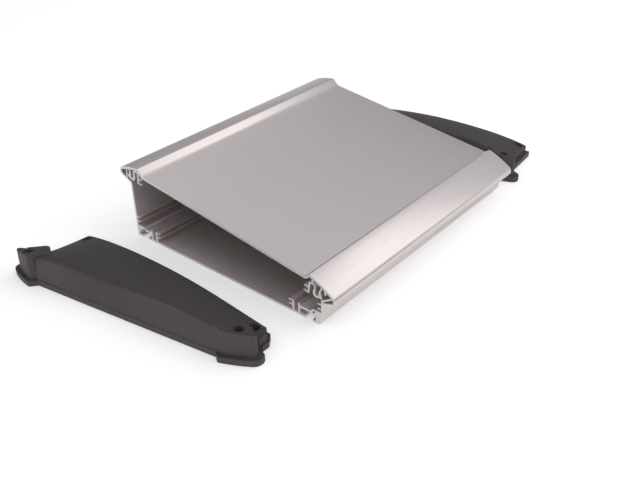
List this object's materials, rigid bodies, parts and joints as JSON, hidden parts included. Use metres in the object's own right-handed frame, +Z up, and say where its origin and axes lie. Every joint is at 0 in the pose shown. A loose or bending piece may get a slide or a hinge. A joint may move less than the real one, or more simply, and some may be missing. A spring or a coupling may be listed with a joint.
{
  "type": "sloped desk enclosure",
  "caption": "Sloping desktop instrument enclosure of nested extrusions with T-slots, screw ports and board guides, and a pair of moulded end caps lying beside it.",
  "frame": {"origin": "middle of the enclosure's underside, on the table", "axes": "+X along the extrusions, -Y towards the low front, +Z up"},
  "size_m": [0.4387, 0.2439, 0.0648],
  "materials": {
    "anodised_aluminium": "satin natural anodised",
    "cap_plastic": "matt"
  },
  "bodies": {
    "root": {"base_shell": "anodised_aluminium", "top_cover": "anodised_aluminium", "end_cap_right": "cap_plastic", "end_cap_left": "cap_plastic"}
  },
  "joints": []
}
